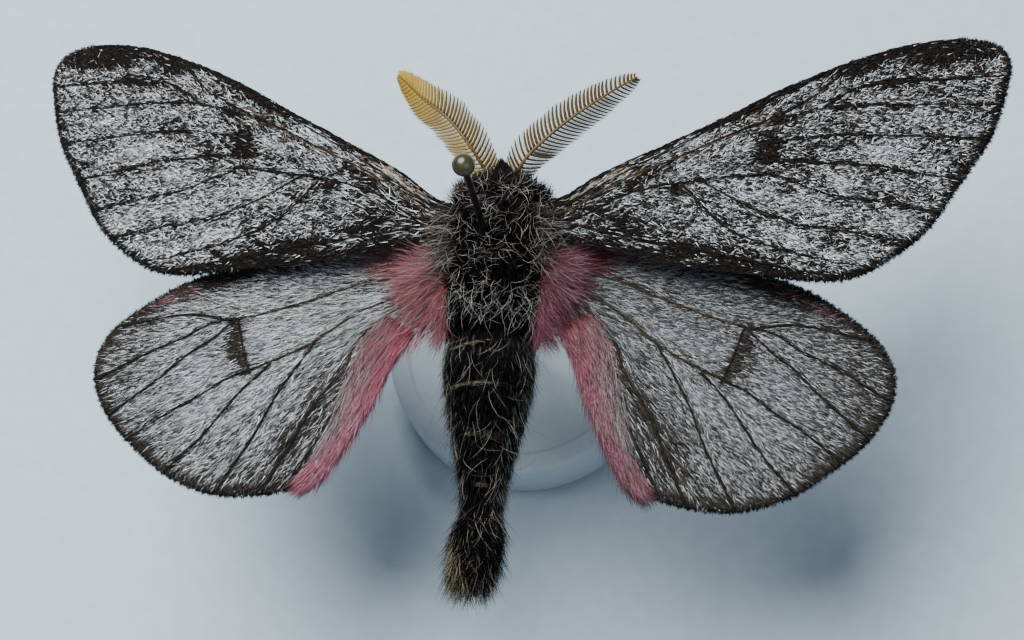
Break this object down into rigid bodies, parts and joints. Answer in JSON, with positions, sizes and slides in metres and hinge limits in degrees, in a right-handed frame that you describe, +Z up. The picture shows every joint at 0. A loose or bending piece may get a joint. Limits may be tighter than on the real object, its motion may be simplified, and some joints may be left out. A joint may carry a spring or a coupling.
{
  "type": "pinned coloradia siriae moth",
  "caption": "Life-size spread moth with feathered antennae and a furry body, held by an insect pin that stands in a plain round base.",
  "frame": {"origin": "centre of the base's underside, on the floor under the pin", "axes": "+Z up along the pin, +Y towards the moth's head, +X towards its right wing"},
  "size_m": [0.0715, 0.0423, 0.0391],
  "materials": {
    "stand": "matte pale grey paint",
    "pin": "black enamelled steel wire",
    "pin_head": "glossy dark olive bead",
    "black_coat": "black fur with sparse pale hairs",
    "grey_coat": "dark fur with cream tips",
    "forewing": "charcoal wing scales dusted with white",
    "hindwing": "grey hair-like wing scales, pink inner fringe",
    "antenna": "golden horn",
    "eye": "glossy black",
    "leg": "dark fur"
  },
  "bodies": {
    "root": {"stand_base": "stand", "pin_shaft": "pin", "pin_head": "pin_head", "head": "black_coat", "eye_left": "eye", "eye_right": "eye", "palp_left": "black_coat", "palp_right": "black_coat", "antenna_left": "antenna", "antenna_right": "antenna", "thorax": "black_coat", "abdomen": "black_coat", "anal_tuft": "grey_coat", "forewing_left": "forewing", "forewing_right": "forewing", "hindwing_left": "hindwing", "hindwing_right": "hindwing", "leg_fore_left": "leg", "leg_fore_right": "leg", "leg_mid_left": "leg", "leg_mid_right": "leg", "leg_hind_left": "leg", "leg_hind_right": "leg"}
  },
  "joints": []
}
